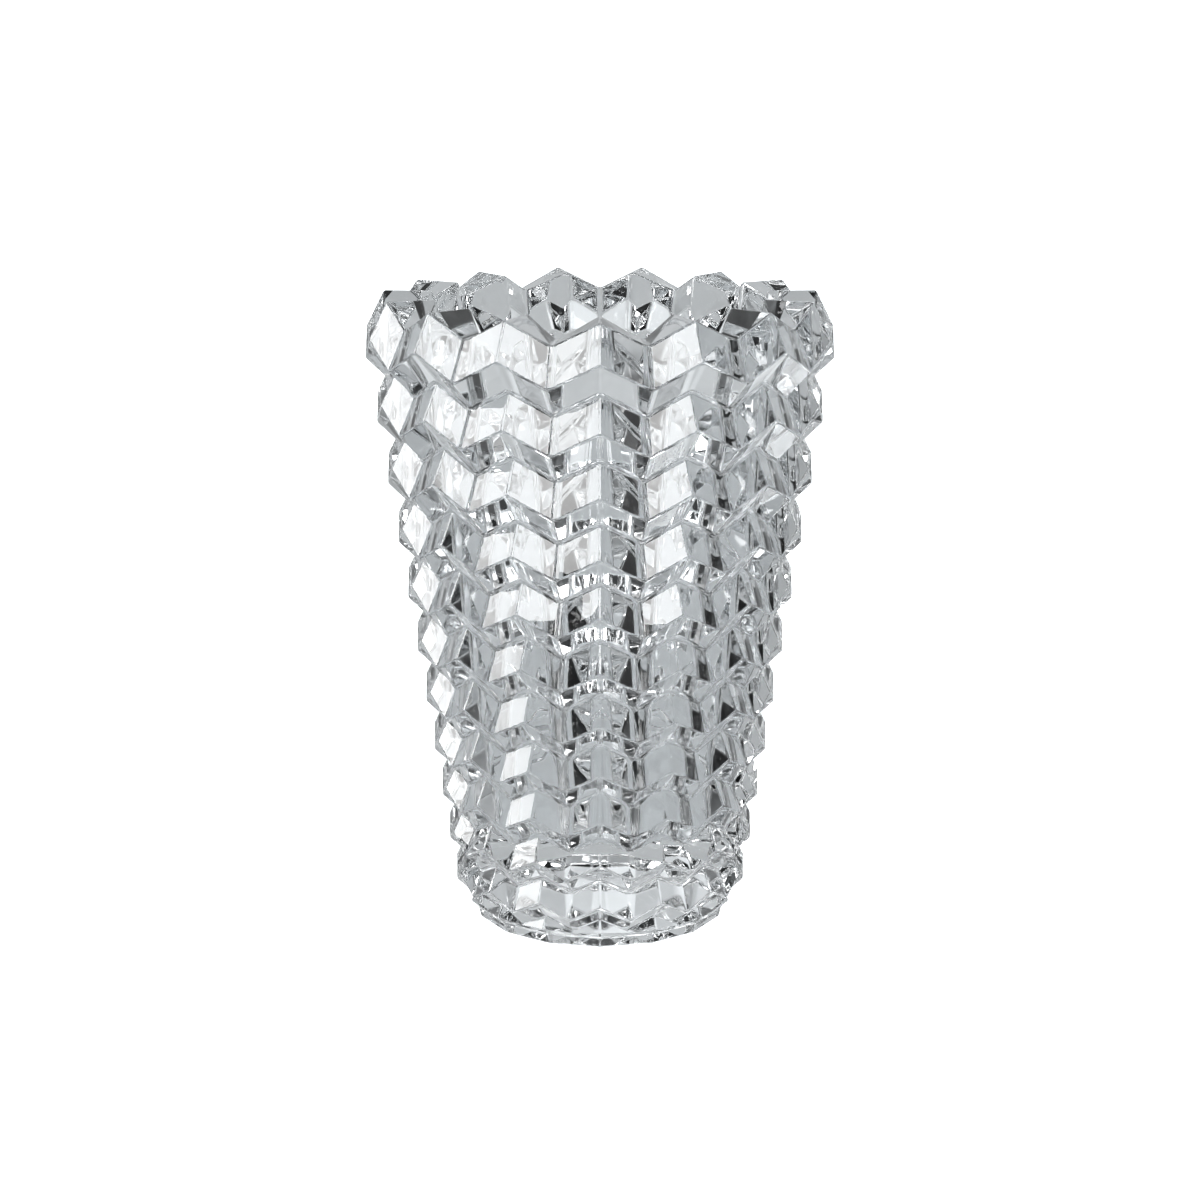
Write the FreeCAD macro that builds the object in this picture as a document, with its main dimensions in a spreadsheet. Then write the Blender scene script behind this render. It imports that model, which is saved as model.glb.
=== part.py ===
import FreeCAD, Part
import Sketcher
import math
import os

from FreeCAD import Placement, Rotation, Vector

# A cut crystal vase: a tapering vessel whose outside is cut into rows of flat facets.
#
# Every row (tier) is a ring of facets that flare outwards on the way down. In plan the ring has
# outward ridges with valleys half way between them, and the valleys sit lower than the ridges, so
# each row has a zigzag edge above and below. A second ring of facets steps back inwards to the
# top of the next, smaller row. The hollow inside has a straight flute behind every valley, and
# the glass below it is solid down to a small flat foot.
#
# The vase is a single piece of crystal. It is divided into three regions that meet face to face:
# the wall round the hollow, the solid base under it and the foot.
#
# Frame: +Z up, origin in the middle of the foot's flat underside, one ridge faces -Y.

FRONT_ANGLE = -90.0

# name, value, note: lengths in mm
DIMENSIONS = [
    ("height", 300.0, "underside of the foot to the tips of the rim"),
    ("ridge_count", 15, "outward ridges round the vase"),
    ("tier_count", 12, "rows of facets, the last one mostly ground away above the foot"),
    ("ridge_top_radius", 101.8, "first row, top end of a ridge"),
    ("ridge_bottom_radius", 110.5, "first row, bottom end of a ridge"),
    ("valley_top_radius", 100.8, "first row, top end of a valley"),
    ("radius_ratio", 0.9565, "radii of a row over those of the row above"),
    ("ridge_drop", 17.3, "first row, height of a ridge from top to bottom"),
    ("ridge_drop_ratio", 0.9655, "ridge height of a row over that of the row above"),
    ("valley_drop", 10.6, "first row, valley top below ridge top"),
    ("valley_drop_ratio", 0.9541, "valley drop of a row over that of the row above"),
    ("first_pitch", 31.25, "first row to second row, ridge top to ridge top"),
    ("pitch_step", 1.06, "each pitch is shorter than the one above by this"),
    ("flute_ridge_radius", 78.0, "hollow at the rim, on the lands behind the ridges"),
    ("flute_valley_radius", 91.0, "hollow at the rim, in the flutes behind the valleys"),
    ("floor_scale", 0.55, "size of the hollow at its floor over its size at the rim"),
    ("floor_height", 44.0, "floor of the hollow above the underside"),
    ("foot_height", 5.5, "thickness of the foot"),
    ("foot_top_radius", 61.5, "foot, corner radius where it meets the base"),
    ("foot_bottom_radius", 60.2, "foot, corner radius on the ground"),
    ("chamfer_spread", 1.1, "widening of the ground chamfer above the foot, per mm of height"),
    ("cut_margin", 5.0, "how far cutting shapes run past the glass"),
]

doc = FreeCAD.newDocument("cut_crystal_vase")


def make_sheet():
    """Spreadsheet with one aliased cell for each driving dimension."""
    sheet = doc.addObject("Spreadsheet::Sheet", "dims")
    for row, (name, value, note) in enumerate(DIMENSIONS, start=1):
        sheet.set("A%d" % row, name)
        sheet.set("B%d" % row, str(value))
        sheet.set("C%d" % row, note)
        sheet.setAlias("B%d" % row, name)
    doc.recompute()
    return sheet


sheet = make_sheet()


def polar(radius, angle, z):
    """Point at a radius and an angle in degrees from the front ridge."""
    turn = math.radians(FRONT_ANGLE + angle)
    return Vector(radius * math.cos(turn), radius * math.sin(turn), z)


def facet(points, side):
    """Flat face with its front outwards. The points go round one way on a ridge's right side and
    the other way on its left side."""
    loop = points[::side]
    return Part.Face(Part.makePolygon(loop + loop[:1]))


# ---- the outside: rows of flat facets -------------------------------------------------------


def tier_edges():
    """Ridge ends and valley tops of every row, and of one more below, as (radius, z) pairs."""
    tiers = []
    top = sheet.height
    for k in range(int(sheet.tier_count) + 1):
        shrink = sheet.radius_ratio ** k
        tiers.append({
            "ridge_top": (sheet.ridge_top_radius * shrink, top),
            "ridge_bottom": (sheet.ridge_bottom_radius * shrink,
                             top - sheet.ridge_drop * sheet.ridge_drop_ratio ** k),
            "valley_top": (sheet.valley_top_radius * shrink,
                           top - sheet.valley_drop * sheet.valley_drop_ratio ** k),
        })
        top -= sheet.first_pitch - sheet.pitch_step * k
    return tiers


def facet_trace(ridge_a, ridge_b, valley, half_pitch):
    """Where the flat facet through two ridge points and a valley point crosses the valley's
    upright plane: (a, b, c) with a * radius + b * z = c."""
    corner = Vector(ridge_a[0], 0, ridge_a[1])
    along = Vector(ridge_b[0], 0, ridge_b[1]) - corner
    across_end = Vector(valley[0] * math.cos(half_pitch), valley[0] * math.sin(half_pitch), valley[1])
    normal = along.cross(across_end - corner)
    a = normal.x * math.cos(half_pitch) + normal.y * math.sin(half_pitch)
    return a, normal.z, normal.dot(corner)


def crossing(line_one, line_two):
    """Common point (radius, z) of two lines given as (a, b, c)."""
    a1, b1, c1 = line_one
    a2, b2, c2 = line_two
    det = a1 * b2 - a2 * b1
    return (c1 * b2 - c2 * b1) / det, (a1 * c2 - a2 * c1) / det


def add_valley_bottoms(tiers, half_pitch):
    """The bottom of each valley lies in the flaring facet and in the facet that steps back in."""
    for upper, lower in zip(tiers, tiers[1:]):
        flaring = facet_trace(upper["ridge_top"], upper["ridge_bottom"], upper["valley_top"], half_pitch)
        stepping = facet_trace(upper["ridge_bottom"], lower["ridge_top"], lower["valley_top"], half_pitch)
        upper["valley_bottom"] = crossing(flaring, stepping)


def make_faceted_blank():
    """Closed solid with all the outer facets, not yet hollow and not yet cut off at the foot."""
    count = int(sheet.ridge_count)
    pitch_angle = 360.0 / count
    tiers = tier_edges()
    add_valley_bottoms(tiers, math.radians(pitch_angle / 2))
    tiers = tiers[:-1]
    outline = []
    for tier in tiers:
        outline.append((tier["ridge_top"], tier["valley_top"]))
        outline.append((tier["ridge_bottom"], tier["valley_bottom"]))
    crown_centre = Vector(0, 0, sheet.height)
    bottom_centre = Vector(0, 0, tiers[-1]["valley_bottom"][1])
    faces = []
    for i in range(count):
        for side in (-1, 1):
            ridge_angle = pitch_angle * i
            valley_angle = ridge_angle + side * pitch_angle / 2
            edges = [(polar(r[0], ridge_angle, r[1]), polar(v[0], valley_angle, v[1])) for r, v in outline]
            faces.append(facet([crown_centre, edges[0][0], edges[0][1]], side))
            for (ridge_a, valley_a), (ridge_b, valley_b) in zip(edges, edges[1:]):
                faces.append(facet([ridge_a, ridge_b, valley_b, valley_a], side))
            faces.append(facet([edges[-1][0], bottom_centre, edges[-1][1]], side))
    blank = doc.addObject("Part::Feature", "faceted_blank")
    blank.Shape = Part.Solid(Part.Shell(faces))
    return blank


# ---- the hollow: one fluted sector, repeated round the axis ----------------------------------


def origin_feature(body, role):
    return next(f for f in body.Origin.OriginFeatures if f.Role == role)


def sector_sketch(body, name, z_expression, scale_expression):
    """Kite from the axis out to two flute bottoms and the land between them."""
    rough_radius = 50.0
    rough_angle = math.radians(12)
    sketch = body.newObject("Sketcher::SketchObject", name)
    sketch.AttachmentSupport = [(origin_feature(body, "XY_Plane"), "")]
    sketch.MapMode = "FlatFace"
    sketch.setExpression("AttachmentOffset.Base.z", z_expression)
    centre = Vector(0, 0, 0)
    low = Vector(rough_radius * math.cos(rough_angle), -rough_radius * math.sin(rough_angle), 0)
    land = Vector(rough_radius * 0.9, 0, 0)
    high = Vector(low.x, -low.y, 0)
    corners = [centre, low, land, high]
    for start, end in zip(corners, corners[1:] + corners[:1]):
        sketch.addGeometry(Part.LineSegment(start, end), False)
    for line in range(4):
        sketch.addConstraint(Sketcher.Constraint("Coincident", line, 2, (line + 1) % 4, 1))
    sketch.addConstraint(Sketcher.Constraint("Coincident", 0, 1, -1, 1))
    sketch.addConstraint(Sketcher.Constraint("PointOnObject", 1, 2, -1))
    sketch.addConstraint(Sketcher.Constraint("Symmetric", 0, 2, 3, 1, -1))
    flute = sketch.addConstraint(Sketcher.Constraint("Distance", 0, rough_radius))
    reach = sketch.addConstraint(Sketcher.Constraint("DistanceX", -1, 1, 1, 2, land.x))
    spread = sketch.addConstraint(Sketcher.Constraint("Angle", 0, 1, 3, 2, 2 * rough_angle))
    sketch.setExpression("Constraints[%d]" % flute, "dims.flute_valley_radius * (%s)" % scale_expression)
    sketch.setExpression("Constraints[%d]" % reach, "dims.flute_ridge_radius * (%s)" % scale_expression)
    sketch.setExpression("Constraints[%d]" % spread, "360 deg / dims.ridge_count")
    return sketch


def make_hollow():
    """Fluted, tapering hollow from its floor to just above the rim."""
    body = doc.addObject("PartDesign::Body", "hollow")
    taper = "(1 - dims.floor_scale) / (dims.height - dims.floor_height)"
    floor = sector_sketch(body, "hollow_floor", "dims.floor_height", "dims.floor_scale")
    mouth = sector_sketch(body, "hollow_mouth", "dims.height + dims.cut_margin",
                          "1 + dims.cut_margin * " + taper)
    doc.recompute()
    sector = body.newObject("PartDesign::AdditiveLoft", "hollow_sector")
    sector.Profile = floor
    sector.Sections = [mouth]
    sector.Ruled = True
    doc.recompute()
    ring = body.newObject("PartDesign::PolarPattern", "hollow_ring")
    ring.Originals = [sector]
    ring.Axis = (origin_feature(body, "Z_Axis"), "")
    ring.Angle = 360
    ring.setExpression("Occurrences", "dims.ridge_count")
    body.Tip = ring
    body.Placement = Placement(Vector(0, 0, 0), Rotation(Vector(0, 0, 1), FRONT_ANGLE))
    doc.recompute()
    return body


# ---- the three regions -----------------------------------------------------------------------


def make_slab(name, bottom_expression, height_expression):
    """Wide disc that picks one level range out of the blank."""
    slab = doc.addObject("Part::Cylinder", name)
    slab.setExpression("Radius", "dims.ridge_bottom_radius + dims.cut_margin")
    slab.setExpression("Height", height_expression)
    slab.setExpression("Placement.Base.z", bottom_expression)
    return slab


def make_common(name, shapes):
    common = doc.addObject("Part::MultiCommon", name)
    common.Shapes = shapes
    return common


def make_wall(blank, hollow):
    """Everything above the floor of the hollow."""
    slab = make_slab("wall_levels", "dims.floor_height", "dims.height - dims.floor_height + dims.cut_margin")
    outside = make_common("wall_outside", [blank, slab])
    wall = doc.addObject("Part::Cut", "faceted_wall")
    wall.Base = outside
    wall.Tool = hollow
    return wall


def make_frustum(name, levels):
    """Many-sided solid, its corners under the ridges, between two levels given as (circumradius,
    height) expressions."""
    sections = []
    for end, (radius, z) in zip(["bottom", "top"], levels):
        outline = doc.addObject("Part::RegularPolygon", "%s_%s" % (name, end))
        outline.setExpression("Polygon", "dims.ridge_count")
        outline.setExpression("Circumradius", radius)
        outline.Placement = Placement(Vector(0, 0, 0), Rotation(Vector(0, 0, 1), FRONT_ANGLE))
        outline.setExpression("Placement.Base.z", z)
        sections.append(outline)
    frustum = doc.addObject("Part::Loft", name)
    frustum.Sections = sections
    frustum.Solid = True
    frustum.Ruled = True
    return frustum


def make_base(blank):
    """Solid glass between the foot and the floor of the hollow, ground to a chamfer at the foot."""
    top_radius = "dims.foot_top_radius + dims.chamfer_spread * (dims.floor_height - dims.foot_height)"
    chamfer = make_frustum("base_chamfer", [("dims.foot_top_radius", "dims.foot_height"),
                                            (top_radius, "dims.floor_height")])
    return make_common("solid_base", [blank, chamfer])


def make_foot():
    """Low many-sided pad, a little narrower on the ground."""
    return make_frustum("foot", [("dims.foot_bottom_radius", "0 mm"),
                                 ("dims.foot_top_radius", "dims.foot_height")])


def check_and_write(nodes):
    doc.recompute()
    for item in doc.Objects:
        if "Invalid" in item.State or "Error" in item.State:
            raise RuntimeError("%s did not recompute: %s" % (item.Name, item.State))
    for node in nodes:
        if node.Shape.isNull() or not node.Shape.isValid() or len(node.Shape.Solids) != 1:
            raise RuntimeError("%s is not one valid solid" % node.Label)
    os.makedirs("parts", exist_ok=True)
    for node in nodes:
        node.Shape.exportStep("parts/%s.step" % node.Label)
        print("%-13s %8.0f mm3, %d faces" % (node.Label, node.Shape.Volume, len(node.Shape.Faces)))


blank = make_faceted_blank()
hollow = make_hollow()
check_and_write([make_wall(blank, hollow), make_base(blank), make_foot()])
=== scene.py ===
import math

import bmesh
import bpy
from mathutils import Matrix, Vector


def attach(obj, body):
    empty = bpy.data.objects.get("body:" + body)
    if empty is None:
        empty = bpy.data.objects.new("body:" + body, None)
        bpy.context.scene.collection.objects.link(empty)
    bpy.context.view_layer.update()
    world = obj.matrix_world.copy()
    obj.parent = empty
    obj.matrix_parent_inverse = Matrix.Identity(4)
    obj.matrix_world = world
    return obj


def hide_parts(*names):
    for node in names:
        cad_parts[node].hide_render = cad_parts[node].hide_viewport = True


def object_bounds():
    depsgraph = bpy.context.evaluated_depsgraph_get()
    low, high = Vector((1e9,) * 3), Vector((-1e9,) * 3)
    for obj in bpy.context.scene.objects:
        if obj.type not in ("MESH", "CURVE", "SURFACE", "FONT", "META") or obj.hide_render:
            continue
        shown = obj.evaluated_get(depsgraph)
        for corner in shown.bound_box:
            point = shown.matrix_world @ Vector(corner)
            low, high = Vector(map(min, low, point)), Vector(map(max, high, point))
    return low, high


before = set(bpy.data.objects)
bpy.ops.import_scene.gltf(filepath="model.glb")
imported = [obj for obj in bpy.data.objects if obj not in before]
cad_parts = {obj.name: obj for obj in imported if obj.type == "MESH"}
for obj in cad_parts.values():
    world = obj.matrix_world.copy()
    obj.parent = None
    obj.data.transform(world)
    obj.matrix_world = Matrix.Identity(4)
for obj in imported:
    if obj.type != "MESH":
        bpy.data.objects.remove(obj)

# A cut crystal vase on a pale floor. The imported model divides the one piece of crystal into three
# regions. Here they are welded into a single glass mesh, so that no boundary inside the glass
# shows, and the edges are rounded as polishing leaves them. Lengths are in metres.

REGIONS = ["faceted_wall", "solid_base", "foot"]
CAD_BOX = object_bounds()
HEIGHT = CAD_BOX[1].z - CAD_BOX[0].z
MAX_RADIUS = -CAD_BOX[0].y

# welding: points this close are one point, and faces this nearly level are one facet
REGION_WELD = 1e-6
UNION_WELD = 2e-6
SAME_FACET = math.radians(0.4)

# telling the hollow from the outside
LEVEL = 0.99
INWARDS = -0.5
HOLLOW_FLOOR_CENTRE = 0.02
PROBE = 1e-3

# polished edges: width of the rounding, and the share of a neighbouring edge it may take
RIDGE_POLISH = 0.0018
VALLEY_POLISH = 0.0034
LAND_POLISH = 0.0050
MAX_POLISH = LAND_POLISH
ROOM_SHARE = 0.4
ROUNDING_STEPS = 3

# the crystal, and its two surfaces: (roughest polish, size of the waves, height of the waves)
CRYSTAL_TINT = (0.970, 0.984, 0.994, 1.0)
CRYSTAL_IOR = 1.55
CUT_FACETS = (0.004, 0.014, 0.00002)
MOULDED_HOLLOW = (0.030, 0.015, 0.00010)
BEST_POLISH = 0.2
PATCH_SIZE = 2.5
PATCH_RANGE = (0.35, 0.65)

# the floor: its glow in the glass and to the camera, and the pools of painted shade in that glow as
# (centre, reach)
STUDIO_TINT = (0.955, 0.985, 1.0, 1.0)
FLOOR_SIZE = 60 * HEIGHT
FLOOR_GAP = 0.0004
FLOOR_COLOUR = 0.04
FLOOR_GLOW = 0.42
FLOOR_SEEN = 1.5
PAINTED_SHADE_POOLS = [
    ((0.50, -0.10, 0.0), (0.40, 0.42, 1.0)),
    ((-0.68, -0.20, 0.0), (0.52, 0.45, 1.0)),
    ((0.0, -1.20, 0.0), (2.0, 0.80, 1.0)),
]
SHADE_POOL_EDGE = (0.75, 1.25)

# the walls: their brightness in the glass, front and back, and to the camera
FRONT_ROOM = 0.01
BACK_WALL = 0.48
WALL_EDGE = (0.35, 0.80)
BACKDROP_SEEN = 1.5
# a low patch of extra light on the back wall: its direction, reach and brightness
SPOT_DIRECTION = (-0.09, 0.92, 0.38)
SPOT_REACH = (0.42, 0.60, 0.12)
SPOT_BRIGHTNESS = 0.30
SPOT_EDGE = (0.3, 1.3)

# azimuth, elevation, distance, width, height and brightness of each panel
SOFTBOXES = {
    "key_left": (262, 24, 1.4, 0.8, 0.9, 6.2),
    "front_left": (315, 41, 1.5, 0.8, 0.5, 7.0),
    "front_top": (0, 42, 1.6, 0.7, 0.5, 7.4),
    "overhead": (20, 80, 1.4, 0.6, 0.6, 1.5),
}
# the panel that shows only in reflections, never through the glass
SHEEN_PANEL = "key_left"

# the camera: its places are counted in rim radii
LENS = 83.3
CAMERA_DISTANCE = 11.64
CAMERA_ABOVE_RIM = 1.506
AIM_BELOW_RIM = 1.330
EXPOSURE = 0.1
GLASS_BOUNCES = 32
MIRROR_BOUNCES = 16


def join_regions():
    """One closed mesh of all the regions, with a single polygon for each flat facet."""
    copies = []
    for name in REGIONS:
        copy = bpy.data.objects.new(name + "_copy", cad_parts[name].data.copy())
        bpy.context.scene.collection.objects.link(copy)
        bm = bmesh.new()
        bm.from_mesh(copy.data)
        bmesh.ops.remove_doubles(bm, verts=bm.verts, dist=REGION_WELD)
        bm.to_mesh(copy.data)
        bm.free()
        copies.append(copy)
    for other in copies[1:]:
        union = copies[0].modifiers.new("join", "BOOLEAN")
        union.operation = "UNION"
        union.solver = "EXACT"
        union.object = other
    graph = bpy.context.evaluated_depsgraph_get()
    mesh = bpy.data.meshes.new_from_object(copies[0].evaluated_get(graph))
    for copy in copies:
        bpy.data.objects.remove(copy)
    bm = bmesh.new()
    bm.from_mesh(mesh)
    bmesh.ops.remove_doubles(bm, verts=bm.verts, dist=UNION_WELD)
    bmesh.ops.dissolve_limit(bm, angle_limit=SAME_FACET, verts=bm.verts, edges=bm.edges)
    bm.to_mesh(mesh)
    bm.free()
    mesh.name = "crystal"
    return mesh


def radius_of(point):
    return math.hypot(point.x, point.y)


def is_hollow(face):
    """True for a face of the hollow, which looks towards the axis or is the hollow's floor."""
    middle = face.center
    radius = radius_of(middle)
    low = middle.z < HEIGHT / 2
    is_floor = face.normal.z > LEVEL and low and radius < HOLLOW_FLOOR_CENTRE
    outwards = face.normal.x * middle.x + face.normal.y * middle.y
    return is_floor or outwards < INWARDS * radius


def is_inside(edge):
    """True for an edge whose faces all look towards the axis, as in the hollow."""
    for face in edge.link_faces:
        middle = face.calc_center_median()
        if radius_of(middle + face.normal * PROBE) >= radius_of(middle):
            return False
    return True


def edge_polish(edge):
    """Width of the rounding on an edge."""
    if is_inside(edge):
        return LAND_POLISH
    if edge.calc_face_angle_signed(0) < 0:
        return VALLEY_POLISH
    return RIDGE_POLISH


def edge_room(edge):
    """Widest rounding that leaves some of every neighbouring edge."""
    return ROOM_SHARE * min(near.calc_length() for end in edge.verts for near in end.link_edges)


def round_edges(vase):
    """Bevels every edge of the vase by its own width."""
    bm = bmesh.new()
    bm.from_mesh(vase.data)
    weight = bm.edges.layers.float.new("bevel_weight_edge")
    for edge in bm.edges:
        edge[weight] = min(edge_polish(edge), edge_room(edge)) / MAX_POLISH
    bm.to_mesh(vase.data)
    bm.free()
    bevel = vase.modifiers.new("polished_edges", "BEVEL")
    bevel.limit_method = "WEIGHT"
    bevel.offset_type = "OFFSET"
    bevel.width = MAX_POLISH / 2
    bevel.segments = ROUNDING_STEPS
    bevel.harden_normals = True
    bevel.use_clamp_overlap = True


def crystal_material(name, roughest, wave_size, wave_height):
    """Clear crystal glass. The polish varies a little and the surface is gently wavy."""
    material = bpy.data.materials.new(name)
    material.use_nodes = True
    nodes, links = material.node_tree.nodes, material.node_tree.links
    shader = nodes["Principled BSDF"]
    shader.inputs["Base Color"].default_value = CRYSTAL_TINT
    shader.inputs["Transmission Weight"].default_value = 1.0
    shader.inputs["IOR"].default_value = CRYSTAL_IOR
    coords = nodes.new("ShaderNodeTexCoord")
    waves = nodes.new("ShaderNodeTexNoise")
    waves.inputs["Scale"].default_value = 1.0 / wave_size
    waves.inputs["Detail"].default_value = 1.0
    bump = nodes.new("ShaderNodeBump")
    bump.inputs["Strength"].default_value = 1.0
    bump.inputs["Distance"].default_value = wave_height
    polish = nodes.new("ShaderNodeTexNoise")
    polish.inputs["Scale"].default_value = 1.0 / (PATCH_SIZE * wave_size)
    polish.inputs["Detail"].default_value = 2.0
    level = nodes.new("ShaderNodeMapRange")
    level.inputs["From Min"].default_value = PATCH_RANGE[0]
    level.inputs["From Max"].default_value = PATCH_RANGE[1]
    level.inputs["To Min"].default_value = BEST_POLISH * roughest
    level.inputs["To Max"].default_value = roughest
    links.new(coords.outputs["Object"], waves.inputs["Vector"])
    links.new(coords.outputs["Object"], polish.inputs["Vector"])
    links.new(waves.outputs["Fac"], bump.inputs["Height"])
    links.new(bump.outputs["Normal"], shader.inputs["Normal"])
    links.new(polish.outputs["Fac"], level.inputs["Value"])
    links.new(level.outputs["Result"], shader.inputs["Roughness"])
    return material


def make_crystal():
    vase = bpy.data.objects.new("crystal_vase", join_regions())
    bpy.context.scene.collection.objects.link(vase)
    round_edges(vase)
    vase.data.materials.clear()
    vase.data.materials.append(crystal_material("cut_crystal", *CUT_FACETS))
    vase.data.materials.append(crystal_material("hollow_crystal", *MOULDED_HOLLOW))
    for face in vase.data.polygons:
        face.material_index = 1 if is_hollow(face) else 0
    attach(vase, "root")
    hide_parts(*REGIONS)


def combine(tree, operation, first, second):
    """Output of a sum or product of two node outputs, or of an output and a number."""
    node = tree.nodes.new("ShaderNodeMath")
    node.operation = operation
    tree.links.new(first, node.inputs[0])
    if isinstance(second, float):
        node.inputs[1].default_value = second
    else:
        tree.links.new(second, node.inputs[1])
    return node.outputs[0]


def fade_between(tree, value, edge, start, end):
    """Output that runs smoothly from start to end while the value crosses the edge."""
    node = tree.nodes.new("ShaderNodeMapRange")
    node.interpolation_type = "SMOOTHSTEP"
    node.inputs["From Min"].default_value = edge[0]
    node.inputs["From Max"].default_value = edge[1]
    node.inputs["To Min"].default_value = start
    node.inputs["To Max"].default_value = end
    tree.links.new(value, node.inputs["Value"])
    return node.outputs["Result"]


def soft_spot(tree, position, centre, reach, edge, inside, outside):
    """Output that is inside at the centre of a soft ellipse and outside beyond its edge."""
    place = tree.nodes.new("ShaderNodeMapping")
    place.vector_type = "TEXTURE"
    place.inputs["Location"].default_value = centre
    place.inputs["Scale"].default_value = reach
    distance = tree.nodes.new("ShaderNodeVectorMath")
    distance.operation = "LENGTH"
    tree.links.new(position, place.inputs["Vector"])
    tree.links.new(place.outputs["Vector"], distance.inputs[0])
    return fade_between(tree, distance.outputs["Value"], edge, inside, outside)


def unless_seen(tree, level, seen):
    """Output of the level, or of the brightness seen where the camera looks straight at it."""
    path = tree.nodes.new("ShaderNodeLightPath")
    pick = tree.nodes.new("ShaderNodeMix")
    pick.data_type = "FLOAT"
    pick.inputs["B"].default_value = seen
    tree.links.new(path.outputs["Is Camera Ray"], pick.inputs["Factor"])
    tree.links.new(level, pick.inputs["A"])
    return pick.outputs["Result"]


def make_floor():
    """A pale table, brighter to the camera than in the glass, as on a cut-out background. In the
    glass its glow has painted shade on either side and in front: dark pools that define the facets."""
    bpy.ops.mesh.primitive_plane_add(size=FLOOR_SIZE, location=(0, 0, -FLOOR_GAP))
    floor = bpy.context.object
    floor.name = "studio_floor"
    material = bpy.data.materials.new("floor_paint")
    material.use_nodes = True
    tree = material.node_tree
    tree.nodes.clear()
    output = tree.nodes.new("ShaderNodeOutputMaterial")
    paint = tree.nodes.new("ShaderNodeBsdfDiffuse")
    paint.inputs["Color"].default_value = (FLOOR_COLOUR, FLOOR_COLOUR, FLOOR_COLOUR, 1.0)
    glow = tree.nodes.new("ShaderNodeEmission")
    glow.inputs["Color"].default_value = STUDIO_TINT
    place = tree.nodes.new("ShaderNodeNewGeometry")
    level = FLOOR_GLOW
    # painted shade: each pool darkens the floor's glow where it would stand in shadow
    for centre, reach in PAINTED_SHADE_POOLS:
        painted_shade = soft_spot(tree, place.outputs["Position"], centre, reach, SHADE_POOL_EDGE, 0.0, 1.0)
        level = combine(tree, "MULTIPLY", painted_shade, level)
    both = tree.nodes.new("ShaderNodeAddShader")
    tree.links.new(unless_seen(tree, level, FLOOR_SEEN), glow.inputs["Strength"])
    tree.links.new(paint.outputs[0], both.inputs[0])
    tree.links.new(glow.outputs[0], both.inputs[1])
    tree.links.new(both.outputs[0], output.inputs["Surface"])
    floor.data.materials.append(material)


def make_softbox(name, azimuth, elevation, distance, width, height, brightness):
    """A soft panel facing the vase. Azimuth 0 is the camera's side and increases towards +X."""
    data = bpy.data.lights.new(name, "AREA")
    data.shape = "RECTANGLE"
    data.size = width
    data.size_y = height
    data.energy = brightness * math.pi * width * height
    panel = bpy.data.objects.new(name, data)
    bpy.context.scene.collection.objects.link(panel)
    turn, rise = math.radians(azimuth), math.radians(elevation)
    across, back = math.sin(turn), -math.cos(turn)
    towards = Vector((across * math.cos(rise), back * math.cos(rise), math.sin(rise)))
    panel.location = Vector((0, 0, HEIGHT / 2)) + towards * distance
    panel.rotation_mode = "QUATERNION"
    panel.rotation_quaternion = towards.to_track_quat("Z", "Y")
    panel.visible_camera = False
    panel.visible_transmission = name != SHEEN_PANEL


def make_world():
    """Studio walls, pale behind the vase and dark in front, with a white background to the
    camera."""
    world = bpy.data.worlds.new("studio")
    bpy.context.scene.world = world
    world.use_nodes = True
    tree = world.node_tree
    background = tree.nodes["Background"]
    background.inputs["Color"].default_value = STUDIO_TINT
    direction = tree.nodes.new("ShaderNodeTexCoord").outputs["Generated"]
    split = tree.nodes.new("ShaderNodeSeparateXYZ")
    tree.links.new(direction, split.inputs[0])
    wall = fade_between(tree, split.outputs["Y"], WALL_EDGE, FRONT_ROOM, BACK_WALL)
    spot = soft_spot(tree, direction, SPOT_DIRECTION, SPOT_REACH, SPOT_EDGE, SPOT_BRIGHTNESS, 0.0)
    level = combine(tree, "ADD", wall, spot)
    tree.links.new(unless_seen(tree, level, BACKDROP_SEEN), background.inputs["Strength"])


def make_camera():
    """A long lens in front of the vase, a little above the rim and tilted down."""
    data = bpy.data.cameras.new("camera")
    camera = bpy.data.objects.new("camera", data)
    bpy.context.scene.collection.objects.link(camera)
    data.sensor_width = 36
    data.lens = LENS
    data.clip_start = 0.05
    data.clip_end = 100
    eye_height = HEIGHT + CAMERA_ABOVE_RIM * MAX_RADIUS
    camera.location = (0.0, -CAMERA_DISTANCE * MAX_RADIUS, eye_height)
    aim = Vector((0, 0, HEIGHT - AIM_BELOW_RIM * MAX_RADIUS))
    camera.rotation_mode = "QUATERNION"
    camera.rotation_quaternion = (aim - camera.location).to_track_quat("-Z", "Y")
    bpy.context.scene.camera = camera


make_crystal()
make_floor()
for name, placing in SOFTBOXES.items():
    make_softbox(name, *placing)
make_world()
make_camera()

scene = bpy.context.scene
scene.view_settings.view_transform = "Standard"
scene.view_settings.look = "Medium High Contrast"
scene.view_settings.exposure = EXPOSURE
scene.cycles.use_denoising = True
scene.cycles.max_bounces = GLASS_BOUNCES
scene.cycles.transmission_bounces = GLASS_BOUNCES
scene.cycles.glossy_bounces = MIRROR_BOUNCES
